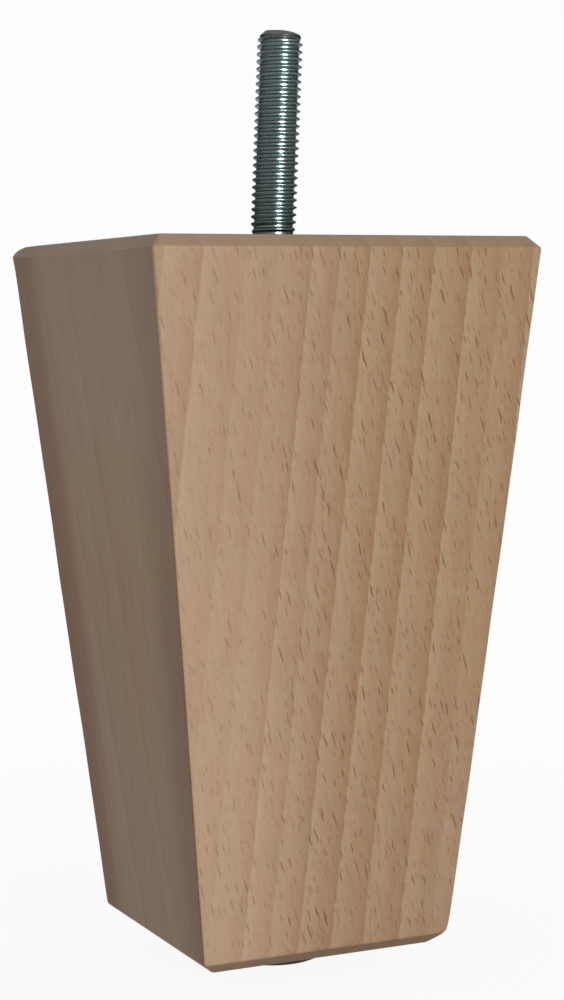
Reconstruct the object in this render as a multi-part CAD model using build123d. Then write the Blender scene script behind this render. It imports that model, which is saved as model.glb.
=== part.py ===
from build123d import *
import os

# Tapered beech furniture leg with a hanger bolt in its top and a nail-on glide under its foot.
# Millimetres, +Z up. The origin is on the block's axis, on the floor under the glide.

# Beech block, widths measured across the flats before the bevels are cut
block_height = 120.0
top_width = 69.0
foot_width = 45.0
top_bevel = 2.0           # the same inwards and downwards
foot_bevel_width = 2.4
foot_bevel_height = 2.0
arris_radius = 0.7        # the four long edges and the bevels' mitres, softened by sanding
rim_radius = 0.3          # edges between a bevel and the flats beside it

# Hanger bolt, with a machine thread above the block and a wood-screw thread inside it
bolt_diameter = 8.0
bolt_height = 35.8        # how far it stands out of the block, along its own axis
bolt_depth = 38.0         # how far it is turned in
bolt_tip_bevel = 0.9
neck_diameter = 7.1       # plain blank between the two threads
neck_height = 1.1         # plain neck left above the wood
neck_depth = 3.0          # plain neck below the wood's surface
thread_run_out = 0.45     # short cone between the neck and each thread
point_length = 9.0
point_diameter = 1.2
bolt_offset = 1.3         # the hole is drilled this far off centre, towards +X
bolt_lean = 3.0           # degrees out of square, towards +X
bolt_hole_clearance = 0.05
bolt_hole_spare_depth = 2.0
drill_cone_depth = 2.4
mouth_bevel = 0.6         # countersink that takes the fibres the screw thread lifts

# Nail-on glide, centred under the foot
pad_diameter = 19.0
pad_thickness = 4.5
pad_floor_radius = 2.2    # rounding of the rim that slides on the floor
pad_top_radius = 0.4
nail_diameter = 2.2
nail_depth = 14.0         # how far it is driven in
nail_point_length = 3.0
nail_point_diameter = 0.5
nail_head_diameter = 7.0
nail_head_thickness = 1.0
nail_head_cover = 1.6     # plastic under the head
nail_clearance = 0.05
nail_hole_spare_depth = 1.0

# Heights above the floor
block_base = pad_thickness
block_top = block_base + block_height

# The bolt's own frame has its origin where the bolt leaves the wood
bolt_place = Location((bolt_offset, 0, block_top), (0, bolt_lean, 0))


def revolved(points):
    """Solid of revolution about Z, from (diameter, height) points."""
    outline = Polyline(*[(diameter / 2, 0, height) for diameter, height in points], close=True)
    return revolve(make_face(outline), Axis.Z)


def cross_section(width, height):
    """The block's square section at a height, with its corners softened."""
    return Pos(0, 0, height) * RectangleRounded(width, width, arris_radius)


def width_at(height):
    """The block's width across the flats at a height above the floor."""
    return foot_width + (top_width - foot_width) * (height - block_base) / block_height


def make_bolt_hole():
    bore = bolt_diameter + 2 * bolt_hole_clearance
    depth = bolt_depth + bolt_hole_spare_depth
    # The countersink's cone goes on above the wood, because the top cuts it aslant
    cutter = revolved(
        [
            (0, bolt_height),
            (bore + 2 * bolt_height + 2 * mouth_bevel, bolt_height),
            (bore, -mouth_bevel),
            (bore, -depth),
            (0, -depth - drill_cone_depth),
        ]
    )
    return bolt_place * cutter


def make_nail_hole():
    bore = nail_diameter + 2 * nail_clearance
    depth = nail_depth + nail_hole_spare_depth
    return revolved([(0, 0), (bore, 0), (bore, block_base + depth), (0, block_base + depth)])


def make_leg_block():
    lower = block_base + foot_bevel_height
    upper = block_top - top_bevel
    block = loft(
        [
            cross_section(foot_width - 2 * foot_bevel_width, block_base),
            cross_section(width_at(lower), lower),
            cross_section(width_at(upper), upper),
            cross_section(top_width - 2 * top_bevel, block_top),
        ],
        ruled=True,
    )
    block = fillet(block.edges().filter_by(Plane.XY), rim_radius)
    return block - make_bolt_hole() - make_nail_hole()


def make_hanger_bolt():
    bolt = revolved(
        [
            (0, -bolt_depth),
            (point_diameter, -bolt_depth),
            (bolt_diameter, point_length - bolt_depth),
            (bolt_diameter, -neck_depth - thread_run_out),
            (neck_diameter, -neck_depth),
            (neck_diameter, neck_height),
            (bolt_diameter, neck_height + thread_run_out),
            (bolt_diameter, bolt_height - bolt_tip_bevel),
            (bolt_diameter - 2 * bolt_tip_bevel, bolt_height),
            (0, bolt_height),
        ]
    )
    return bolt_place * bolt


def nail_shape(clearance):
    """Nail standing on its head, grown sideways and below the head by the clearance."""
    shank = nail_diameter + 2 * clearance
    head = nail_head_diameter + 2 * clearance
    head_top = nail_head_cover + nail_head_thickness
    tip = pad_thickness + nail_depth
    return revolved(
        [
            (0, nail_head_cover - clearance),
            (head, nail_head_cover - clearance),
            (head, head_top),
            (shank, head_top),
            (shank, tip - nail_point_length),
            (nail_point_diameter, tip),
            (0, tip),
        ]
    )


def make_glide_pad():
    pad = extrude(Circle(pad_diameter / 2), pad_thickness)
    pad = fillet(pad.faces().sort_by(Axis.Z)[0].edges(), pad_floor_radius)
    pad = fillet(pad.faces().sort_by(Axis.Z)[-1].edges(), pad_top_radius)
    return pad - nail_shape(nail_clearance)


parts = {
    "leg_block": make_leg_block(),
    "hanger_bolt": make_hanger_bolt(),
    "glide_pad": make_glide_pad(),
    "glide_nail": nail_shape(clearance=0),
}

os.makedirs("parts", exist_ok=True)
for name, shape in parts.items():
    export_step(shape, f"parts/{name}.step")
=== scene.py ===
import math

import bpy
import numpy as np
from mathutils import Matrix, Vector


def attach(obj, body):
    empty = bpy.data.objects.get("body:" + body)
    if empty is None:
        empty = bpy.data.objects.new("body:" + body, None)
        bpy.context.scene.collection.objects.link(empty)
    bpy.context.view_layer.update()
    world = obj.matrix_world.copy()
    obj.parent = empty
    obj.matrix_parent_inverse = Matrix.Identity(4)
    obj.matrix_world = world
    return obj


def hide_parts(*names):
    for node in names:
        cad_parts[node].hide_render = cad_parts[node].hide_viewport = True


# Tapered beech furniture leg with a threaded bolt in its top and a nail-on glide under its foot.
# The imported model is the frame; lengths below are millimetres unless a note says otherwise.

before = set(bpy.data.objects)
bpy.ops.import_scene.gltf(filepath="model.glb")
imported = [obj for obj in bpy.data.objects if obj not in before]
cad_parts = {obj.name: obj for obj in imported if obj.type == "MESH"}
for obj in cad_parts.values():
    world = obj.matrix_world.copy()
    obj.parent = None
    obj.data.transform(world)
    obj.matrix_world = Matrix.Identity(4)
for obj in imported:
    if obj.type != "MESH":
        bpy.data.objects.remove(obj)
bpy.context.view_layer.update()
print("stage: frame loaded, nodes", sorted(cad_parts))

metre = 0.001


def surfaceFromRings(name, rings):
    # rings holds rows of points, each row a closed loop. Neighbouring rows are joined by quads,
    # the last column meets the first, and a fan about its mean point closes each end.
    rows, columns, _ = rings.shape
    points = np.concatenate([rings.reshape(-1, 3), rings[:1].mean(axis=1), rings[-1:].mean(axis=1)])
    here = np.arange(rows * columns).reshape(rows, columns)
    beside = np.roll(here, -1, axis=1)
    quads = np.stack([here[:-1], beside[:-1], beside[1:], here[1:]], axis=-1).reshape(-1, 4)
    startPole = np.full(columns, rows * columns)
    fans = np.concatenate(
        [
            np.stack([startPole, beside[0], here[0]], axis=-1),
            np.stack([startPole + 1, here[-1], beside[-1]], axis=-1),
        ]
    )
    # About six times the enclosed volume: its sign says whether the faces point outwards
    a, b, c, d = (points[quads[:, k]] for k in range(4))
    volume = np.einsum("ij,ij->i", a + d, np.cross(b - a, c - a)).sum()
    if volume < 0:
        quads = quads[:, ::-1]
        fans = fans[:, ::-1]
    mesh = bpy.data.meshes.new(name)
    mesh.vertices.add(len(points))
    mesh.vertices.foreach_set("co", (points * metre).ravel())
    corners = np.concatenate([quads.ravel(), fans.ravel()])
    sizes = np.concatenate([np.full(len(quads), 4), np.full(len(fans), 3)])
    mesh.loops.add(len(corners))
    mesh.loops.foreach_set("vertex_index", corners)
    mesh.polygons.add(len(sizes))
    mesh.polygons.foreach_set("loop_start", np.cumsum(sizes) - sizes)
    mesh.polygons.foreach_set("loop_total", sizes)
    mesh.update(calc_edges=True)
    mesh.validate()
    mesh.shade_smooth()
    piece = bpy.data.objects.new(name, mesh)
    bpy.context.scene.collection.objects.link(piece)
    return piece


def smoothStep(low, high, value):
    # 3 f² - 2 f³, where f runs from 0 at low to 1 at high
    f = np.clip((value - low) / (high - low), 0, 1)
    return f * f * (3 - 2 * f)


def roundedPath(points, radii, steps):
    # A path of straight runs whose inner corners are arcs: each arc touches both runs at
    # radius * tan(half the turn) from the corner. A point half a radius before and after each arc
    # keeps the shading of the runs flat.
    path = [points[0]]
    for before, corner, after, radius in zip(points, points[1:], points[2:], radii):
        before, corner, after = (np.array(p, float) for p in (before, corner, after))
        inward = (before - corner) / np.linalg.norm(before - corner)
        onward = (after - corner) / np.linalg.norm(after - corner)
        half = math.acos(float(np.clip(inward @ onward, -1, 1))) / 2
        touch = radius / math.tan(half)
        between = (inward + onward) / np.linalg.norm(inward + onward)
        middle = corner + between * radius / math.sin(half)
        start = corner + inward * touch
        end = corner + onward * touch
        path.append(tuple(start + inward * radius * 0.5))
        for f in np.linspace(0, 1, steps + 1):
            spoke = (start - middle) * (1 - f) + (end - middle) * f
            path.append(tuple(middle + spoke / np.linalg.norm(spoke) * radius))
        path.append(tuple(end + onward * radius * 0.5))
    path.append(points[-1])
    return np.array(path)


# The bolt's own frame, shared by the bolt and its hole
boltPlace = {
    "offset": 1.3,        # off the block's axis, towards +X
    "lean": 3.0,          # degrees, towards +X
    "blockTop": 124.5,
}
boltLean = math.radians(boltPlace["lean"])
boltFoot = np.array([boltPlace["offset"], 0.0, boltPlace["blockTop"]])
boltUp = np.array([math.sin(boltLean), 0.0, math.cos(boltLean)])
boltEast = np.array([math.cos(boltLean), 0.0, -math.sin(boltLean)])
boltNorth = np.array([0.0, 1.0, 0.0])


def aroundBolt(radius, angle, height):
    # foot + radius (cos angle east + sin angle north) + height up
    radius, angle, height = np.broadcast_arrays(radius, angle, height)
    side = np.cos(angle)[..., None] * boltEast + np.sin(angle)[..., None] * boltNorth
    return boltFoot + radius[..., None] * side + height[..., None] * boltUp


block = {
    "base": 4.5, "top": 124.5,
    "topHalf": 34.5, "footHalf": 22.5,      # half widths of the flats, carried on to the ends
    "topBevel": 2.0, "footBevelWidth": 2.4, "footBevelHeight": 2.0,
    "rimRadii": (0.4, 0.45, 0.9, 0.3),      # edges beside the two bevels, from the top down
    "rimSteps": 4, "rimFlat": 1.5,          # width of top face and underside that the skin takes in
    "taperRows": 52, "rowGap": 0.45, "sideColumns": 37,
    # Arris radius by height, corner by corner: right, back, left, front
    "arrisHeights": (4.5, 12.0, 45.0, 110.0, 124.5),
    "arrisRadii": (
        (0.6, 0.5, 0.4, 0.4, 0.4),
        (0.7, 0.7, 0.7, 0.7, 0.7),
        (0.6, 0.6, 0.7, 0.8, 0.9),
        (0.5, 0.45, 0.4, 0.45, 0.55),
    ),
    "arrisSteps": 6,
    # What the sander leaves: a share of each arris radius, and millimetres 30 mm off the axis
    "arrisWander": 0.12, "flatWave": 0.03, "flatWaveAt": 30,
    # Softened corners: the way each faces, then depth and width
    "topSoftening": ((-1, 1, 0.5, 0.05, 0.3), (-1, 1, 3.6, 0.05, 0.3)),
    "footSoftening": (1, -1, -1, 0.45, 0.35),
    # The far left mitre is round instead of flat
    "swellTowards": (-1, 1, 1.6), "swellRise": 0.55, "swellReach": 1.7,
    "bore": 4.05, "boreDepth": 40.0, "drillCone": 2.4, "mouthBevel": 0.6,
    "nailHole": 1.15,
    # Rows of the nail's hole: height above the foot, then share of the radius
    "nailHoleRows": (
        (0.1, 1), (2, 1), (5, 1), (8, 1), (11, 1), (14, 1), (14.9, 1),
        (15, 0.97), (15, 0.6), (15, 0.2),
    ),
}


def squareRings(half, radii, sideFractions, arcSteps):
    # Each ring is four right-angle arcs about (±(half - r), ±(half - r)), each followed by a
    # straight side that runs on to the next arc
    half = np.asarray(half)[:, None]
    signs = ((1, -1), (1, 1), (-1, 1), (-1, -1))
    arcs = []
    for q, (signX, signY) in enumerate(signs):
        r = radii[:, q][:, None]
        angle = math.radians(90 * (q - 1)) + np.linspace(0, math.pi / 2, arcSteps + 1)[None, :]
        alongX = signX * (half - r) + r * np.cos(angle)
        alongY = signY * (half - r) + r * np.sin(angle)
        arcs.append(np.stack([alongX, alongY], axis=-1))
    loops = []
    for q in range(4):
        start = arcs[q][:, -1:, :]
        end = arcs[(q + 1) % 4][:, :1, :]
        loops += [arcs[q], start + (end - start) * sideFractions[None, :, None]]
    return np.concatenate(loops, axis=1)


def softenCorner(points, corner, outward, depth, width):
    # Pushes points back along -outward by width log(1 + exp((d + depth) / width)), where d is
    # the distance past the corner along outward, so that the corner ends in a soft facet
    outward = np.array(outward) / np.linalg.norm(outward)
    past = (points - np.array(corner)) @ outward
    return points - outward * (width * np.logaddexp(0, (past + depth) / width))[..., None]


def swellAbout(points, middle, outward, rise, reach):
    # Moves points outward by rise exp(-(distance from the middle / reach)²)
    outward = np.array(outward) / np.linalg.norm(outward)
    distance = np.linalg.norm(points - np.array(middle), axis=-1)
    return points + outward * (rise * np.exp(-((distance / reach) ** 2)))[..., None]


def halfAt(height):
    # Half the width across the flats, straight from the foot to the top
    taper = block["topHalf"] - block["footHalf"]
    return block["footHalf"] + taper * (height - block["base"]) / (block["top"] - block["base"])


def blockSkin(upper, lower):
    # From the top face's edge over both bevels to the underside's edge
    topInner = block["topHalf"] - block["topBevel"]
    footInner = block["footHalf"] - block["footBevelWidth"]
    edges = [
        (topInner - block["rimFlat"], block["top"]),
        (topInner, block["top"]),
        (halfAt(upper), upper),
        (halfAt(lower), lower),
        (footInner, block["base"]),
        (footInner - block["rimFlat"], block["base"]),
    ]
    path = roundedPath(edges, block["rimRadii"], block["rimSteps"])
    rows = []
    for first, second in zip(path, path[1:]):
        length = float(np.linalg.norm(second - first))
        isTaper = length > (upper - lower) / 2
        count = block["taperRows"] if isTaper else max(1, round(length / block["rowGap"]))
        # Closer together towards both ends: half of 1 - cos(turn)
        shares = 0.5 - 0.5 * np.cos(np.arange(count) * math.pi / count)
        rows += [first + (second - first) * share for share in shares]
    path = np.array(rows + [path[-1]])
    half, height = path[:, 0], path[:, 1]
    radii = [np.interp(height, block["arrisHeights"], r) for r in block["arrisRadii"]]
    # The sander leaves the arrises a little uneven: radius (1 + wander (two sines of the height))
    wander = [np.sin(height / 7.3 + 1.7 * q) + np.sin(height / 3.1 + q) for q in range(4)]
    radii = np.stack(radii, axis=1) * (1 + block["arrisWander"] * np.stack(wander, axis=1))
    # The columns of a side, too, are closer together towards the arrises
    sideTurn = np.linspace(0, math.pi, block["sideColumns"] + 2)[1:-1]
    flat = squareRings(half, radii, 0.5 - 0.5 * np.cos(sideTurn), block["arrisSteps"])
    # Flats wave by a few hundredths, as sines of height and of place round the block
    turn = np.arctan2(flat[..., 1], flat[..., 0])
    wave = np.sin(height[:, None] / 19 + 2 * turn) + 0.6 * np.sin(height[:, None] / 8.5 - 5 * turn)
    flat = flat * (1 + block["flatWave"] * wave / block["flatWaveAt"])[..., None]
    heights = np.broadcast_to(height[:, None, None], flat.shape[:2] + (1,))
    return np.concatenate([flat, heights], axis=-1)


def topRings(edge):
    # Hole for the bolt (drill cone, wall, countersink), then straight lines out to the edge
    angle = np.arctan2(edge[:, 1], edge[:, 0])
    bore, bevel, depth = block["bore"], block["mouthBevel"], block["boreDepth"]
    share = np.array([0.12, 0.4, 0.75, 0.98])[:, None]
    cone = aroundBolt(bore * share, angle[None, :], -depth - block["drillCone"] * (1 - share))
    wallHeights = np.concatenate(
        [[0.02 - depth], np.linspace(0.4 - depth, -bevel - 0.4, 12), [-bevel - 0.05, -bevel]]
    )
    wall = aroundBolt(bore, angle[None, :], wallHeights[:, None])
    # The countersink is a 45 degree cone. It meets the top at the height where
    # height cos lean = radius cos angle sin lean
    mouth = (bore + bevel) * np.cos(angle) * math.sin(boltLean)
    mouth = mouth / (math.cos(boltLean) - np.cos(angle) * math.sin(boltLean))
    share = np.array([0.1, 0.5, 0.9])[:, None]
    sinkHeight = -bevel + (mouth[None, :] + bevel) * share
    sink = aroundBolt(bore + bevel + sinkHeight, angle[None, :], sinkHeight)
    mouthRing = aroundBolt(bore + bevel + mouth, angle, mouth)
    reach = np.array([0, 0.004, 0.015, 0.06, 0.14, 0.24, 0.36, 0.5, 0.64, 0.78, 0.9, 0.97])
    topFace = mouthRing + (edge - mouthRing) * reach[:, None, None]
    return np.concatenate([cone, wall, sink, topFace])


def footRings(edge):
    # Underside, in straight lines from the edge to the nail's hole, then the hole
    angle = np.arctan2(edge[:, 1], edge[:, 0])
    circle = np.stack([np.cos(angle), np.sin(angle), np.zeros_like(angle)], axis=-1)
    mouth = circle * block["nailHole"] + np.array([0, 0, block["base"]])
    reach = np.array([0.05, 0.2, 0.4, 0.6, 0.8, 0.93, 0.98, 1])[:, None, None]
    underside = edge + (mouth - edge) * reach
    rise, shrink = np.array(block["nailHoleRows"]).T[:, :, None, None]
    wall = circle * block["nailHole"] * shrink + np.array([0, 0, 1]) * (block["base"] + rise)
    return np.concatenate([underside, wall])


def blockRings():
    upper = block["top"] - block["topBevel"]
    lower = block["base"] + block["footBevelHeight"]
    skin = blockSkin(upper, lower)
    rings = np.concatenate([topRings(skin[0]), skin, footRings(skin[-1])])

    # The far left corner at both ends of its mitre, then the right corner of the foot
    topInner = block["topHalf"] - block["topBevel"]
    outer = (-halfAt(upper), halfAt(upper), upper)
    inner = (-topInner, topInner, block["top"])
    for corner, softening in zip((outer, inner), block["topSoftening"]):
        rings = softenCorner(rings, corner, softening[:3], *softening[3:])
    middle = (np.array(outer) + np.array(inner)) / 2
    rise, reach = block["swellRise"], block["swellReach"]
    rings = swellAbout(rings, middle, block["swellTowards"], rise, reach)
    footCorner = (halfAt(lower), -halfAt(lower), lower)
    softening = block["footSoftening"]
    return softenCorner(rings, footCorner, softening[:3], *softening[3:])


legBlock = surfaceFromRings("legBlock", blockRings())
print("stage: block", len(legBlock.data.polygons), "faces")


bolt = {
    "height": 35.8, "depth": 38.0, "columns": 96,
    # Machine thread, turned to be in step with the photograph's crests. Its flanks would meet
    # flankPeak above the crest.
    "pitch": 1.25, "major": 3.9, "minor": 3.32, "flankPeak": 0.17, "turnAtZero": 0.835,
    "rowsPerTurn": 26, "crestRound": 0.035, "rootRound": 0.045,
    "neck": 3.52, "neckTop": 0.3, "fullThread": 3.4, "neckBottom": -3.0,
    # Sheared end: the thread fades out, and the bevel is knocked round about cutSide (radians)
    "tipRadius": 3.5, "tipBevel": 0.9, "tipThread": 2.1, "tipLength": 3, "bevelRound": 0.03,
    "cutSide": -0.3, "cutSpread": (-0.2, 0.9), "cutFade": (1.9, 1.3),
    "cutCentre": 1.5, "cutReach": 2.4, "cutHeight": 1.6,
    "edgeGap": 0.01, "endHollow": 0.03,
    "endDip": 0.35, "dipLength": 2.0, "lowSide": -2.0,
    # Wood-screw thread
    "screwMajor": 4.0, "screwPitch": 3.5, "screwCore": 2.85, "screwRows": 12, "screwRunOut": 0.8,
    "ridgePeak": 1.12, "ridgeWidth": 0.7,
    "pointLength": 9.0, "pointRadius": 0.6,
}


def softLimit(value, limit, width):
    # The lesser of value and limit, with the change of slope spread over width
    return limit - width * np.logaddexp(0, (limit - value) / width)


def machineThread(angle, height):
    # major + peak - √3 (distance from the nearest crest along the axis), which is a 60 degree
    # thread, limited softly at the crest and at the root
    turn = height / bolt["pitch"] - angle / (2 * math.pi) - bolt["turnAtZero"]
    fromCrest = np.abs(turn - np.round(turn)) * bolt["pitch"]
    flank = bolt["major"] + bolt["flankPeak"] - math.sqrt(3) * fromCrest
    crest = softLimit(flank, bolt["major"], bolt["crestRound"])
    return -softLimit(-crest, -bolt["minor"], bolt["rootRound"])


def screwThread(angle, height, core):
    # A narrow ridge on a wide land: core + (major - core) (peak - distance from crest / width),
    # with the last bracket kept between 0 and 1
    turn = height / bolt["screwPitch"] - angle / (2 * math.pi)
    fromCrest = np.abs(turn - np.round(turn)) * bolt["screwPitch"]
    ridge = np.clip(bolt["ridgePeak"] - fromCrest / bolt["ridgeWidth"], 0, 1)
    return core + (bolt["screwMajor"] - core) * ridge


def boltRadius(angle, height):
    neck, end = bolt["neck"], bolt["height"]
    # The machine thread grows out of the neck and dies away below the sheared end
    grown = smoothStep(bolt["neckTop"], bolt["fullThread"], height)
    machine = neck + (machineThread(angle, height) - neck) * grown
    faded = smoothStep(end - bolt["tipThread"], end - bolt["tipBevel"], height)
    machine = machine + (bolt["tipRadius"] - machine) * faded
    # The screw thread's crest and core narrow towards the point, and it runs out at the neck
    fromPoint = height + bolt["depth"]
    widening = (bolt["screwMajor"] - bolt["pointRadius"]) * fromPoint / bolt["pointLength"]
    cone = bolt["pointRadius"] + widening
    narrowCore = bolt["screwCore"] * cone / bolt["screwMajor"]
    isPoint = height < bolt["pointLength"] - bolt["depth"]
    core = np.where(isPoint, narrowCore, bolt["screwCore"])
    screw = np.minimum(screwThread(angle, height, core), cone)
    runOut = smoothStep(bolt["neckBottom"], bolt["neckBottom"] - bolt["screwRunOut"], height)
    screw = neck + (screw - neck) * runOut
    radius = np.where(height > 0, machine, screw)
    # End bevel at 45 degrees, drawn out into a quarter ellipse on the side that is knocked round:
    # centre + reach √(1 - 0.99 lift²)
    bevel = bolt["tipRadius"] - bolt["tipBevel"] + (end - height)
    lift = np.clip((height - (end - bolt["cutHeight"])) / bolt["cutHeight"], 0, 1)
    knocked = bolt["cutCentre"] + bolt["cutReach"] * np.sqrt(np.maximum(1 - lift ** 2 * 0.99, 0))
    share = smoothStep(*bolt["cutSpread"], np.cos(angle - bolt["cutSide"]))
    low, high = (end - fade for fade in bolt["cutFade"])
    limit = bevel + (knocked - bevel) * share * smoothStep(low, high, height)
    unlimited = 9.0       # wider than any part of the bolt
    limit = np.where(height > end - bolt["tipLength"], limit, unlimited)
    return softLimit(radius, limit, bolt["bevelRound"])


def boltRings():
    screwTop = bolt["neckBottom"] - bolt["screwRunOut"]
    lastHeight = bolt["height"] - bolt["edgeGap"]
    heights = np.concatenate(
        [
            np.arange(-bolt["depth"], screwTop, bolt["screwPitch"] / bolt["screwRows"]),
            np.linspace(screwTop, bolt["neckBottom"], 7),
            np.linspace(bolt["neckBottom"], bolt["neckTop"], 9)[1:-1],
            np.arange(bolt["neckTop"], lastHeight, bolt["pitch"] / bolt["rowsPerTurn"]),
            [lastHeight],
        ]
    )
    angle = np.arange(bolt["columns"]) * 2 * math.pi / bolt["columns"]
    radius = boltRadius(angle[None, :], heights[:, None])
    shaft = aroundBolt(radius, angle[None, :], heights[:, None])
    # The sheared end is nearly flat: the last ring shrinks
    share = np.array([0.97, 0.85, 0.62, 0.35, 0.12])[:, None]
    endHeights = bolt["height"] - bolt["endHollow"] * (1 - share)
    end = aroundBolt(radius[-1][None, :] * share, angle[None, :], endHeights)
    rings = np.concatenate([shaft, end])
    # It is cut a little out of square: the last millimetres sink by
    # dip step(lift) (0.5 + distance towards the low side / diameter)
    fromFoot = rings - boltFoot
    lowWay = boltEast * math.cos(bolt["lowSide"]) + boltNorth * math.sin(bolt["lowSide"])
    sinking = smoothStep(bolt["height"] - bolt["dipLength"], bolt["height"], fromFoot @ boltUp)
    dip = bolt["endDip"] * sinking * (0.5 + (fromFoot @ lowWay) / (2 * bolt["screwMajor"]))
    return rings - dip[..., None] * boltUp


hangerBolt = surfaceFromRings("hangerBolt", boltRings())
print("stage: bolt", len(hangerBolt.data.polygons), "faces")


glide = {
    "radius": 9.5, "thickness": 4.5, "floorRound": 2.2, "topRound": 0.4,
    "partingHeight": 3.1, "partingRidge": 0.05, "partingWidth": 0.1,
    "shank": 1.15, "head": 3.55, "headBottom": 1.55, "headTop": 2.6,
    "gateRadius": 1.1, "gateDepth": 0.18,
    "rimSteps": 8, "rowGap": 0.25, "columns": 128,
}


def glideRings():
    # Outside of the cup, from the gate mark under it to the nail's hole in its top
    outer = roundedPath(
        [
            (0.2, glide["gateDepth"]),
            (glide["gateRadius"], glide["gateDepth"]),
            (glide["gateRadius"] + 0.2, 0.0),
            (glide["radius"], 0.0),
            (glide["radius"], glide["thickness"]),
            (glide["shank"] + 0.25, glide["thickness"]),
        ],
        (0.05, 0.05, glide["floorRound"], glide["topRound"]),
        glide["rimSteps"],
    )
    inner = np.array(
        [
            (glide["shank"] + 0.06, glide["thickness"]),
            (glide["shank"], glide["thickness"] - 0.06),
            (glide["shank"], glide["headTop"] + 0.03),
            (glide["shank"] + 0.03, glide["headTop"]),
            (glide["head"] - 0.04, glide["headTop"]),
            (glide["head"], glide["headTop"] - 0.04),
            (glide["head"], glide["headBottom"] + 0.04),
            (glide["head"] - 0.04, glide["headBottom"]),
            (0.3, glide["headBottom"]),
        ]
    )
    path = np.concatenate([outer, inner])
    rows = []
    for first, second in zip(path, path[1:]):
        count = max(1, round(float(np.linalg.norm(second - first)) / glide["rowGap"]))
        rows += [first + (second - first) * k / count for k in range(count)]
    path = np.array(rows + [path[-1]])
    # The mould's parting line is a low ridge round the wall: ridge exp(-(dz / width)²)
    radius, height = path[:, 0], path[:, 1]
    fromLine = (height - glide["partingHeight"]) / glide["partingWidth"]
    ridge = glide["partingRidge"] * np.exp(-(fromLine ** 2))
    isWall = radius > glide["radius"] - 0.1
    radius = np.where(isWall, radius - glide["partingRidge"] + ridge, radius)
    angle = np.arange(glide["columns"]) * 2 * math.pi / glide["columns"]
    return np.stack(
        [
            radius[:, None] * np.cos(angle),
            radius[:, None] * np.sin(angle),
            np.broadcast_to(height[:, None], (len(path), len(angle))),
        ],
        axis=-1,
    )


glidePad = surfaceFromRings("glidePad", glideRings())
print("stage: glide", len(glidePad.data.polygons), "faces")


class Amount:
    # A number that varies over a surface. Sums and products of amounts add Math nodes.
    def __init__(self, finish, socket):
        self.finish = finish
        self.socket = socket

    def maths(self, operation, *values):
        settings = {"operation": operation}
        return self.finish.amount("ShaderNodeMath", settings, dict(enumerate(values)))

    def __add__(self, other):
        return self.maths("ADD", self, other)

    def __sub__(self, other):
        return self.maths("SUBTRACT", self, other)

    def __rsub__(self, other):
        return self.maths("SUBTRACT", other, self)

    def __mul__(self, other):
        return self.maths("MULTIPLY", self, other)

    def __truediv__(self, other):
        return self.maths("DIVIDE", self, other)

    def __pow__(self, other):
        return self.maths("POWER", self, other)

    def __abs__(self):
        return self.maths("ABSOLUTE", self)

    __radd__ = __add__
    __rmul__ = __mul__

    def above(self, edge):
        return self.maths("GREATER_THAN", self, edge)

    def greater(self, other):
        return self.maths("MAXIMUM", self, other)

    def fraction(self):
        return self.maths("FRACT", self)

    def step(self, low, high):
        # 0 below low, 1 above high, smooth between
        settings = {"interpolation_type": "SMOOTHSTEP"}
        values = {"Value": self, "From Min": low, "From Max": high}
        return self.finish.amount("ShaderNodeMapRange", settings, values)


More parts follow.
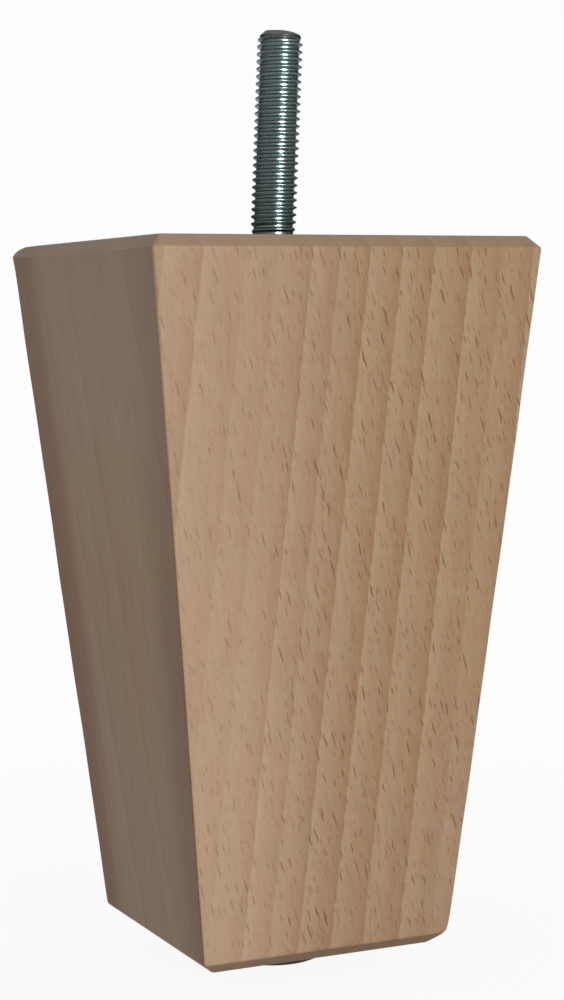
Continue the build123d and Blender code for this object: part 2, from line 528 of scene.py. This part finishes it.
class Finish:
    # The nodes of one material, or of the world
    def __init__(self, owner):
        owner.use_nodes = True
        self.owner = owner
        self.tree = owner.node_tree
        self.tree.nodes.clear()

    def node(self, kind, settings, values):
        # Settings first, then each socket gets its value or link
        made = self.tree.nodes.new(kind)
        for key, value in settings.items():
            if key == "stops":
                ramp = made.color_ramp
                while len(ramp.elements) < len(value):
                    ramp.elements.new(1.0)
                for element, (position, colour) in zip(ramp.elements, value):
                    element.position = position
                    element.color = colour
            else:
                setattr(made, key, value)
        for key, value in values.items():
            socket = made.inputs[key]
            if isinstance(value, Amount):
                value = value.socket
            if isinstance(value, bpy.types.NodeSocket):
                self.tree.links.new(value, socket)
            else:
                socket.default_value = value
        return made

    def amount(self, kind, settings, values):
        return Amount(self, self.node(kind, settings, values).outputs[0])

    def place(self):
        # The surface's own place in millimetres
        coordinates = self.node("ShaderNodeTexCoord", {}, {})
        values = {0: coordinates.outputs["Object"], "Scale": 1 / metre}
        scaled = self.node("ShaderNodeVectorMath", {"operation": "SCALE"}, values)
        return self.parts(scaled.outputs[0])

    def facing(self):
        coordinates = self.node("ShaderNodeTexCoord", {}, {})
        return self.parts(coordinates.outputs["Normal"])

    def parts(self, vector):
        split = self.node("ShaderNodeSeparateXYZ", {}, {0: vector})
        return [Amount(self, output) for output in split.outputs]

    def channels(self, colour):
        split = self.node("ShaderNodeSeparateColor", {}, {0: colour})
        return [Amount(self, output) for output in split.outputs]

    def vector(self, x, y, z):
        return self.node("ShaderNodeCombineXYZ", {}, {0: x, 1: y, 2: z}).outputs[0]

    def noise(self, x, y, z, detail=2.0, roughness=0.5):
        # About 0.5, from 0 to 1
        values = {
            "Vector": self.vector(x, y, z), "Scale": 1.0,
            "Detail": detail, "Roughness": roughness,
        }
        return self.amount("ShaderNodeTexNoise", {"noise_dimensions": "3D"}, values)

    def ramp(self, position, stops):
        return self.node("ShaderNodeValToRGB", {"stops": stops}, {0: position}).outputs[0]

    def mix(self, share, first, second, blend="MIX"):
        settings = {"data_type": "RGBA", "blend_type": blend, "clamp_factor": True}
        return self.node("ShaderNodeMix", settings, {0: share, 6: first, 7: second}).outputs[2]

    def tint(self, share, colour, factors):
        # The colour times the factors, laid over the colour by the share
        return self.mix(share, colour, self.mix(1.0, colour, opaque(factors), "MULTIPLY"))

    def bump(self, height, strength, distance):
        values = {"Height": height, "Strength": strength, "Distance": distance * metre}
        return self.node("ShaderNodeBump", {}, values).outputs[0]

    def surface(self, values):
        shader = self.node("ShaderNodeBsdfPrincipled", {}, values)
        self.node("ShaderNodeOutputMaterial", {}, {"Surface": shader.outputs[0]})
        return self.owner


def paint(red, green, blue):
    # From screen values, 0 to 255, to the linear colour that a socket takes
    colour = []
    for channel in (red, green, blue):
        c = channel / 255
        colour.append(c / 12.92 if c <= 0.04045 else ((c + 0.055) / 1.055) ** 2.4)
    return opaque(colour)


def opaque(colour):
    return tuple(colour) + (1.0,)


def grey(level):
    return opaque((level, level, level))


beech = {
    "outward": 32.7,          # degrees from +X, the way the rings grow
    "ringLean": -0.018,       # how far the rings move outward for each millimetre up
    "fibreLean": -0.080,      # how far the fibres move across the rings for each millimetre up
    "pith": 300.0,            # distance of the heart from the block's axis
    "ringGap": 5.27,
    # Where each ring starts along the outward direction, and how plain its edge is
    "ringStarts": (
        (-59.5, 0.6), (-53.8, 0.8), (-48.1, 0.7), (-42.4, 1.0), (-36.0, 0.4), (-31.3, 0.35),
        (-25.9, 1.0), (-21.7, 0.55), (-17.1, 1.0), (-11.85, 1.0), (-6.7, 0.9), (-0.4, 1.1),
        (5.0, 0.3), (10.3, 0.8), (15.2, 0.9), (20.6, 0.7), (25.3, 1.0), (31.0, 0.8),
        (36.2, 0.5), (41.4, 0.9), (46.8, 0.8), (52.0, 0.7),
    ),
    "plainest": 1.2,
    # Tone through one ring, 0 dark to 1 pale: the edge is a soft step, and the late wood darkens
    "ringTone": (
        (0.0, 0.02), (0.06, 0.95), (0.12, 0.82), (0.3, 0.72),
        (0.5, 0.53), (0.7, 0.38), (0.9, 0.2), (1.0, 0.02),
    ),
    "boldFlecks": {
        "cell": (1.0, 3.4, 7.0), "halfWidth": 0.115, "halfLength": 1.6, "share": 0.5, "shift": 0.0,
    },
    "smallFlecks": {
        "cell": (0.7, 2.2, 5.0), "halfWidth": 0.08, "halfLength": 0.95, "share": 0.5, "shift": 7.3,
    },
    # Screen values
    "lateWood": (152, 117, 87), "earlyWood": (171, 145, 114), "fleckColour": (120, 83, 50),
    "endColour": (142, 118, 94), "poreColour": (96, 72, 50), "rayColour": (186, 160, 132),
    # Linear colours, laid on thinly: painted sheen left of the broad face, painted light at the top
    # of the shaded side and on its bevels
    "paintedSheen": (0.94, 0.70, 0.54),
    "shadedTopPaintedLight": (0.72, 0.62, 0.54), "shadedEndPaintedLight": (0.55, 0.48, 0.42),
    # Factors: painted shade of the shaded side and of its far and near edges, end grain darkened
    # partly by painted shade, painted shade on the underside
    "shadedSidePaintedShade": (1.02, 0.985, 0.95),
    "farPaintedShade": (0.62, 0.42, 0.24), "nearPaintedShade": (0.71, 0.64, 0.57),
    "endGrainAndShade": (0.845, 0.86, 0.90), "underPaintedShade": (0.86, 0.79, 0.64),
}


def ringPlace(wood, outward):
    # Even spacing plus a small correction read from a ramp with one stop for each ring. Its
    # second channel is how plain the ring's edge is there.
    starts, plainness = np.array(beech["ringStarts"]).T
    first, last = starts[0], starts[-1]
    correction = np.arange(len(starts)) - (starts - first) / beech["ringGap"]
    low, high = correction.min() - 0.01, correction.max() + 0.01
    reds = (correction - low) / (high - low)
    greens = plainness / beech["plainest"]
    stops = [
        (position, (red, green, 0, 1))
        for position, red, green in zip((starts - first) / (last - first), reds, greens)
    ]
    read, plain, _ = wood.channels(wood.ramp((outward - first) / (last - first), stops))
    evenly = (outward - first) / beech["ringGap"]
    return evenly + read * (high - low) + low, plain * beech["plainest"]


def rayFlecks(wood, across, along, depth, flecks):
    # A lens about each cell's point: 1 - (length / half length)² - width / half width
    wide, tall, deep = flecks["cell"]
    across, along, depth = across / wide + flecks["shift"], along / tall, depth / deep
    settings = {"voronoi_dimensions": "3D", "feature": "F1"}
    values = {"Vector": wood.vector(across, along, depth), "Scale": 1.0}
    cells = wood.node("ShaderNodeTexVoronoi", settings, values)
    pointAcross, pointAlong, _ = wood.parts(cells.outputs["Position"])
    size, active, strength = wood.channels(cells.outputs["Color"])
    fromAcross = abs(across - pointAcross) * wide
    fromAlong = (along - pointAlong) * tall / (flecks["halfLength"] * (0.5 + 0.8 * size))
    lens = 1 - fromAlong * fromAlong - fromAcross / (flecks["halfWidth"] * (0.7 + 0.6 * size))
    return lens.step(0.0, 0.6) * active.above(1 - flecks["share"]) * (0.4 + 0.6 * strength)


def makeBeech():
    wood = Finish(bpy.data.materials.new("sandedBeech"))
    x, y, z = wood.place()
    faceX, faceY, faceZ = wood.facing()
    turn = math.radians(beech["outward"])
    outward = x * math.cos(turn) + y * math.sin(turn)
    across = y * math.cos(turn) - x * math.sin(turn)
    fibre = across + z * beech["fibreLean"]
    shaded = (0 - faceX).step(0.5, 0.9)        # the side that shows narrow, on the photo's left
    ends = abs(faceZ).step(0.25, 0.72)         # bevels, top and underside
    flatEnds = abs(faceZ).step(0.8, 0.98)

    # Rings: distance from the heart, about outward + across² / (2 pith), with ragged edges
    drift = wood.noise(outward / 18, across / 14, z / 70, 1.0) - 0.5
    ragged = wood.noise(fibre / 0.55, z / 3.2, outward / 6, 2.0, 0.6) - 0.5
    growth = outward + z * beech["ringLean"] + across * across * (0.5 / beech["pith"])
    phase, plain = ringPlace(wood, growth + drift * 0.6 + ragged * 0.75)
    tones = [(position, grey(tone)) for position, tone in beech["ringTone"]]
    tone = wood.channels(wood.ramp(phase.fraction(), tones))[0]
    bandPatch = wood.noise(outward / 5, across / 5, z / 22, 2.0)
    contrast = plain * (0.85 + 0.15 * x.step(-30.0, -4.0)) * (0.7 + 0.6 * bandPatch)
    contrast = contrast * (1 - 0.5 * shaded) * (1 - 0.2 * ends)

    # Soft streaks along the grain, fine pores and slow patches of tone
    streak = wood.noise(fibre / 0.7, z / 9, outward / 1.4, 3.0, 0.55) - 0.5
    fine = wood.noise(fibre / 0.2, z / 1.8, outward / 0.6, 2.0, 0.6) - 0.5
    patch = wood.noise(outward / 9, fibre / 9, z / 30, 2.0) - 0.5
    lively = 1 + 0.35 * shaded
    ringShade = 0.5 + (tone - 0.5) * contrast
    shade = ringShade + (streak * 0.85 + fine * 0.4 + patch * 0.3) * lively
    colour = wood.mix(shade, paint(*beech["lateWood"]), paint(*beech["earlyWood"]))
    # Painted sheen: paler towards the left of the broad face, and a little towards the foot
    taper = (block["topHalf"] - block["footHalf"]) / (block["top"] - block["base"])
    halfHere = block["footHalf"] + (z - block["base"]) * taper
    leftward = 0 - x / halfHere
    low = 1 - z.step(20, 110)
    pale = (leftward.step(-0.1, 0.85) * (0.11 + 0.05 * low) + low * 0.02) * (1 - shaded)
    colour = wood.mix(pale, colour, opaque(beech["paintedSheen"]))

    # Ray flecks, fainter to the left of the broad face and hardly there on the shaded side
    wiggle = wood.noise(z / 1.3, fibre / 2, outward / 4, 1.0) - 0.5
    rayPlace = fibre + wiggle * 0.3
    bold = rayFlecks(wood, rayPlace, z, outward, beech["boldFlecks"])
    small = rayFlecks(wood, rayPlace, z, outward, beech["smallFlecks"])
    chained = wood.noise(rayPlace / 0.38, z / 2.6, outward / 2.5, 1.0).step(0.68, 0.76)
    clear = 0.5 + 0.5 * x.step(-24.0, 4.0)
    clear = clear * (1 - 0.9 * shaded) * (1 - ends)
    fleck = bold.greater(small * 0.6).greater(chained * 0.35) * clear
    colour = wood.mix(fleck * 0.85, colour, paint(*beech["fleckColour"]))

    # The shaded side is darker towards both its edges, most at the far one: painted shade. At the
    # far edge the painted shade goes on round the arris to the back.
    far = (y / halfHere).step(0.46, 0.86) * shaded
    far = far.greater(leftward.step(0.7, 1.0) * faceY.step(0.5, 0.9))
    near = (y / halfHere * -1).step(0.45, 0.95) * shaded
    colour = wood.tint(far, colour, beech["farPaintedShade"])
    colour = wood.tint(near, colour, beech["nearPaintedShade"])
    # Painted shade: the whole shaded side gets its own colour shift
    colour = wood.tint(shaded, colour, beech["shadedSidePaintedShade"])
    # It also darkens a little towards the foot, a painted shade, and greys towards the top, a
    # painted light
    colour = wood.mix(low * 0.12 * shaded, colour, grey(0.0))
    colour = wood.mix(z.step(60.0, 122.0) * 0.27 * shaded, colour, opaque(beech["shadedTopPaintedLight"]))

    # End grain: darker, partly by painted shade, with pores and pale rays
    pores = wood.noise(x / 0.13, y / 0.13, z / 3, 2.0, 0.7)
    paleRay = wood.noise(across / 0.28, outward / 6, z / 9, 1.0).step(0.56, 0.68)
    endColour = wood.mix(0.55, colour, paint(*beech["endColour"]))
    endColour = wood.mix(1.0, endColour, opaque(beech["endGrainAndShade"]), "MULTIPLY")
    endColour = wood.mix(pores.step(0.5, 0.75) * 0.25, endColour, paint(*beech["poreColour"]))
    rays = paleRay * (0.06 + 0.2 * flatEnds)
    endColour = wood.mix(rays, endColour, paint(*beech["rayColour"]))
    # Painted shade on faces that look down
    under = (0 - faceZ).step(0.2, 0.6)
    endColour = wood.tint(under * 0.8, endColour, beech["underPaintedShade"])
    # Painted light on the shaded side's bevels
    endColour = wood.mix(shaded * 0.16, endColour, opaque(beech["shadedEndPaintedLight"]))
    colour = wood.mix(ends, colour, endColour)

    relief = streak * 0.25 + fine * 0.5 - fleck * 0.6 + pores * ends * 0.4
    return wood.surface(
        {
            "Base Color": colour,
            "Roughness": 0.47 + fine * 0.12 - fleck * 0.1 + ends * 0.15,
            "Specular IOR Level": 0.2,
            "Normal": wood.bump(relief, 0.25, 0.05),
        }
    )


plating = {
    # Linear colours: crests and roots in three shades, the painted shade of the thread's flanks
    # and of the roundings between, then specks, dull places and the tint at a glancing angle
    "body": (0.50, 0.62, 0.61), "blue": (0.47, 0.59, 0.62), "warm": (0.53, 0.54, 0.52),
    "flank": (0.35, 0.45, 0.44), "roundingShade": (0.07, 0.09, 0.088),
    "speck": (0.11, 0.13, 0.13), "dull": (0.09, 0.08, 0.075), "glancing": (0.45, 0.5, 0.5),
    # Upright share of the surface's direction where a rounding starts, and where a flank does
    "shoulderSlope": (0.12, 0.35), "flankSlope": (0.6, 0.82),
    "roughness": 0.28,
    # Dull plating, by height above the wood and by depth below the bolt's end
    "neckFade": (0.6, 2.2), "dullNeck": 0.5, "endFade": (2.2, 1.2), "dullEnd": 0.8,
}


def makeZinc():
    zinc = Finish(bpy.data.materials.new("zincPlatedSteel"))
    x, y, z = zinc.place()
    cloud = zinc.noise(x / 3, y / 3, z / 6, 3.0)
    shade = zinc.noise(x / 7 + 5, y / 7, z / 11, 2.0)
    grain = zinc.noise(x / 0.3, y / 0.3, z / 0.16, 3.0, 0.7)
    blueness = cloud.step(0.35, 0.7) * 0.6
    colour = zinc.mix(blueness, opaque(plating["body"]), opaque(plating["blue"]))
    colour = zinc.mix(shade.step(0.55, 0.75) * 0.4, colour, opaque(plating["warm"]))
    colour = zinc.mix(grain.step(0.6, 0.85) * 0.3, colour, opaque(plating["speck"]))
    # Painted shade: the thread's flanks are darker than its crests and roots, and the roundings
    # darkest
    slope = abs(zinc.facing()[2])
    colour = zinc.mix(slope.step(*plating["shoulderSlope"]), colour, opaque(plating["roundingShade"]))
    colour = zinc.mix(slope.step(*plating["flankSlope"]), colour, opaque(plating["flank"]))
    # The plating is duller and browner on the neck, and just below the sheared end
    neckLow, neckHigh = (block["top"] + height for height in plating["neckFade"])
    endLow, endHigh = (block["top"] + bolt["height"] - depth for depth in plating["endFade"])
    neck = 1 - z.step(neckLow, neckHigh)
    sheared = z.step(endLow, endHigh)
    dull = (neck * plating["dullNeck"]).greater(sheared * plating["dullEnd"])
    colour = zinc.mix(dull, colour, opaque(plating["dull"]))
    return zinc.surface(
        {
            "Base Color": colour,
            "Metallic": 1.0,
            "Specular Tint": opaque(plating["glancing"]),
            "Roughness": plating["roughness"] + (grain - 0.5) * 0.14 + (cloud - 0.5) * 0.08,
            "Normal": zinc.bump(grain, 0.12, 0.03),
        }
    )


plastic = {
    "colour": (0.022, 0.014, 0.009), "worn": (0.06, 0.04, 0.026),      # linear
    "roughness": 0.5, "gloss": 0.12,
}


def makePlastic():
    cup = Finish(bpy.data.materials.new("brownPlastic"))
    x, y, z = cup.place()
    grain = cup.noise(x / 0.25, y / 0.25, z / 0.25, 2.0, 0.6)
    cloud = cup.noise(x / 4, y / 4, z / 2, 2.0)
    # Scuffs, most on the sole that slides on the floor
    scuff = cup.noise(x / 0.5 + y / 3, y / 0.35, z / 0.5, 2.0, 0.7).step(0.58, 0.75)
    sole = 1 - z.step(0.02, 0.6)
    worn = opaque(plastic["worn"])
    colour = cup.mix(cloud * 0.35, opaque(plastic["colour"]), worn)
    colour = cup.mix(scuff * (0.15 + sole * 0.5), colour, worn)
    return cup.surface(
        {
            "Base Color": colour,
            "Roughness": plastic["roughness"] + (grain - 0.5) * 0.14 + scuff * sole * 0.25,
            "Specular IOR Level": plastic["gloss"],
            "Normal": cup.bump(grain, 0.2, 0.03),
        }
    )


nailSteel = {"dark": (0.42, 0.42, 0.41), "bright": (0.6, 0.6, 0.59), "roughness": 0.28}


def makeNailSteel():
    steel = Finish(bpy.data.materials.new("drawnSteel"))
    x, y, z = steel.place()
    drawn = steel.noise(x / 0.12, y / 0.12, z / 5, 3.0, 0.6)
    colour = steel.mix(drawn, opaque(nailSteel["dark"]), opaque(nailSteel["bright"]))
    return steel.surface(
        {
            "Base Color": colour,
            "Metallic": 1.0,
            "Roughness": nailSteel["roughness"] + (drawn - 0.5) * 0.2,
            "Normal": steel.bump(drawn, 0.15, 0.02),
        }
    )


woodFinish = makeBeech()
boltFinish = makeZinc()
glideFinish = makePlastic()
nailFinish = makeNailSteel()
for piece, finish, node, slot in (
    (legBlock, woodFinish, "leg_block", "beech"),
    (hangerBolt, boltFinish, "hanger_bolt", "zinc_plated_steel"),
    (glidePad, glideFinish, "glide_pad", "glide_plastic"),
):
    piece.data.materials.append(finish)
    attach(piece, "root")
    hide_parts(node)
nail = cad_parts["glide_nail"]
nail.data.materials.clear()
nail.data.materials.append(nailFinish)
print("stage: finishes")


# Where the photograph was taken from, fitted to the block's outline and the bolt
cameraPlace = {
    "position": (-159.581, -352.672, 111.793),
    "yaw": 25.158, "pitch": 5.156, "roll": 0.552,      # degrees
    "focal": 2244.75, "centre": (300.53, 518.38),      # pixels
    "imageSize": (564, 1000), "sensor": 36.0,
}


studio = {
    "fill": (0.98, 0.98, 1.0), "fillLow": 0.07, "fillHigh": 0.90, "fillEdge": (0.22, 0.6),
    "sweepRadius": 1500.0, "sweepCurve": 350.0, "sweepHeight": 2200.0,
    "sweepHalfAngle": 20.0,    # degrees of wall to each side, behind the object
    "floorGap": 0.02,          # keeps the floor and the glide's face apart
    "floorRows": 13, "curveRows": 13, "wallColumns": 25, "floorColumns": 73,
    # Share of the paper's own shading that a camera sees, far off and beside the foot;
    # beside the foot the paper is greyer, a painted shadow pool over the real shadow
    "paper": 0.55, "paperShow": 0.03, "footShadowShare": 0.07, "footReach": (25.0, 260.0),
    "keyAzimuth": 7.0,         # degrees from the broad face's normal, towards +X
    "keyElevation": 9.0, "keyDistance": 900.0, "keySize": (300.0, 180.0), "keyPower": 4.2,
    "keyColour": (1.0, 0.99, 0.97), "keyTarget": (0.0, 0.0, 80.0),
}


def makeSweep():
    # A round floor whose rim, behind the object, turns up through an arc into a wall:
    # each angle has one path of (distance, height), and the wall ends at a set angle to each side
    radius, curve = studio["sweepRadius"], studio["sweepCurve"]
    floorRows = studio["floorRows"]
    arc = np.linspace(0, math.pi / 2, studio["curveRows"])
    flat = np.append(0.01, np.linspace(60, radius - curve, floorRows - 1))
    distance = np.concatenate([flat, radius - curve + curve * np.sin(arc), [radius]])
    rise = np.concatenate([np.zeros(floorRows), curve * (1 - np.cos(arc)), [studio["sweepHeight"]]])
    height = rise - studio["floorGap"]
    behind = math.radians(90 - cameraPlace["yaw"])
    half = math.radians(studio["sweepHalfAngle"])
    wall = behind + np.linspace(-half, half, studio["wallColumns"])
    floorOnly = behind + np.linspace(half, 2 * math.pi - half, studio["floorColumns"])
    points, faces = [], []
    for angles, keep in ((wall, len(distance)), (floorOnly, floorRows)):
        grid = np.stack(
            [
                distance[None, :keep] * np.cos(angles)[:, None],
                distance[None, :keep] * np.sin(angles)[:, None],
                np.broadcast_to(height[None, :keep], (len(angles), keep)),
            ],
            axis=-1,
        )
        start = sum(len(p) for p in points)
        here = start + np.arange(len(angles) * keep).reshape(len(angles), keep)
        quads = np.stack([here[:-1, :-1], here[:-1, 1:], here[1:, 1:], here[1:, :-1]], axis=-1)
        points.append(grid.reshape(-1, 3))
        faces.append(quads.reshape(-1, 4))
    mesh = bpy.data.meshes.new("sweep")
    mesh.from_pydata((np.concatenate(points) * metre).tolist(), [], np.concatenate(faces).tolist())
    mesh.shade_smooth()
    sweep = bpy.data.objects.new("sweep", mesh)
    bpy.context.scene.collection.objects.link(sweep)

    # White to a camera, also in reflections, with a little of its own shading. To other light
    # it is plain grey paper.
    paper = Finish(bpy.data.materials.new("whitePaper"))
    matt = paper.node("ShaderNodeBsdfDiffuse", {}, {"Color": grey(studio["paper"])})
    white = paper.node("ShaderNodeEmission", {}, {"Color": grey(1.0), "Strength": 1.0})
    rays = paper.node("ShaderNodeLightPath", {}, {})
    kinds = ("Is Camera Ray", "Is Glossy Ray", "Is Transmission Ray")
    camera, glossy, through = (Amount(paper, rays.outputs[kind]) for kind in kinds)
    seen = camera.greater(glossy).greater(through)
    x, y, z = paper.place()
    # Beside the foot the paper shows more of its shading and is greyer: a painted shadow pool
    away = ((x * x + y * y + z * z) ** 0.5).step(*studio["footReach"])
    shown = studio["footShadowShare"] + (studio["paperShow"] - studio["footShadowShare"]) * away
    values = {0: seen * (1 - shown), 1: matt.outputs[0], 2: white.outputs[0]}
    mixed = paper.node("ShaderNodeMixShader", {}, values)
    paper.node("ShaderNodeOutputMaterial", {}, {"Surface": mixed.outputs[0]})
    mesh.materials.append(paper.owner)


def makeWorld():
    # Plain grey light from above that sinks to a dim horizon: low + (high - low) step(up)
    room = Finish(bpy.data.worlds.new("softRoom"))
    direction = room.node("ShaderNodeTexCoord", {}, {}).outputs["Generated"]
    up = room.parts(direction)[2]
    low, high = studio["fillLow"], studio["fillHigh"]
    strength = low + (high - low) * up.step(*studio["fillEdge"])
    values = {"Color": opaque(studio["fill"]), "Strength": strength}
    light = room.node("ShaderNodeBackground", {}, values)
    room.node("ShaderNodeOutputWorld", {}, {"Surface": light.outputs[0]})
    bpy.context.scene.world = room.owner


def aim(thing, position, target):
    # Local -Z looks along target - position, local Y stays upright
    direction = Vector(target) - Vector(position)
    thing.location = position
    thing.rotation_euler = direction.to_track_quat("-Z", "Y").to_euler()


def makeKey():
    azimuth = math.radians(studio["keyAzimuth"])
    elevation = math.radians(studio["keyElevation"])
    distance = studio["keyDistance"] * metre
    target = [t * metre for t in studio["keyTarget"]]
    position = (
        distance * math.cos(elevation) * math.sin(azimuth),
        -distance * math.cos(elevation) * math.cos(azimuth),
        target[2] + distance * math.sin(elevation),
    )
    lamp = bpy.data.lights.new("keyLight", "AREA")
    lamp.shape = "RECTANGLE"
    lamp.size, lamp.size_y = (s * metre for s in studio["keySize"])
    lamp.energy = studio["keyPower"]
    lamp.color = studio["keyColour"]
    key = bpy.data.objects.new("keyLight", lamp)
    bpy.context.scene.collection.objects.link(key)
    aim(key, position, target)


def turnBack(axis, yaw):
    # From the camera's heading to the object's axes, by the yaw about Z
    x, y, z = axis
    return (math.cos(yaw) * x + math.sin(yaw) * y, -math.sin(yaw) * x + math.cos(yaw) * y, z)


def makeCamera():
    yaw, pitch, roll = (math.radians(cameraPlace[key]) for key in ("yaw", "pitch", "roll"))
    # The camera's own axes, first as if its heading were +Y
    right = (math.cos(roll), -math.sin(roll) * math.sin(pitch), -math.sin(roll) * math.cos(pitch))
    up = (math.sin(roll), math.cos(roll) * math.sin(pitch), math.cos(roll) * math.cos(pitch))
    forward = (0.0, math.cos(pitch), -math.sin(pitch))
    right, up, forward = (turnBack(axis, yaw) for axis in (right, up, forward))
    position = [p * metre for p in cameraPlace["position"]]
    data = bpy.data.cameras.new("photoCamera")
    data.sensor_width = cameraPlace["sensor"]
    width, height = cameraPlace["imageSize"]
    data.lens = cameraPlace["focal"] * data.sensor_width / height
    data.shift_x = (width / 2 - cameraPlace["centre"][0]) / height
    data.shift_y = (cameraPlace["centre"][1] - height / 2) / height
    data.clip_start = 0.01
    data.clip_end = 20.0
    camera = bpy.data.objects.new("photoCamera", data)
    bpy.context.scene.collection.objects.link(camera)
    camera.matrix_world = Matrix(
        [[right[k], up[k], -forward[k], position[k]] for k in range(3)] + [[0, 0, 0, 1]]
    )
    bpy.context.scene.camera = camera


makeCamera()
makeSweep()
makeWorld()
makeKey()
bpy.context.scene.view_settings.view_transform = "Standard"
print("stage: room and camera")
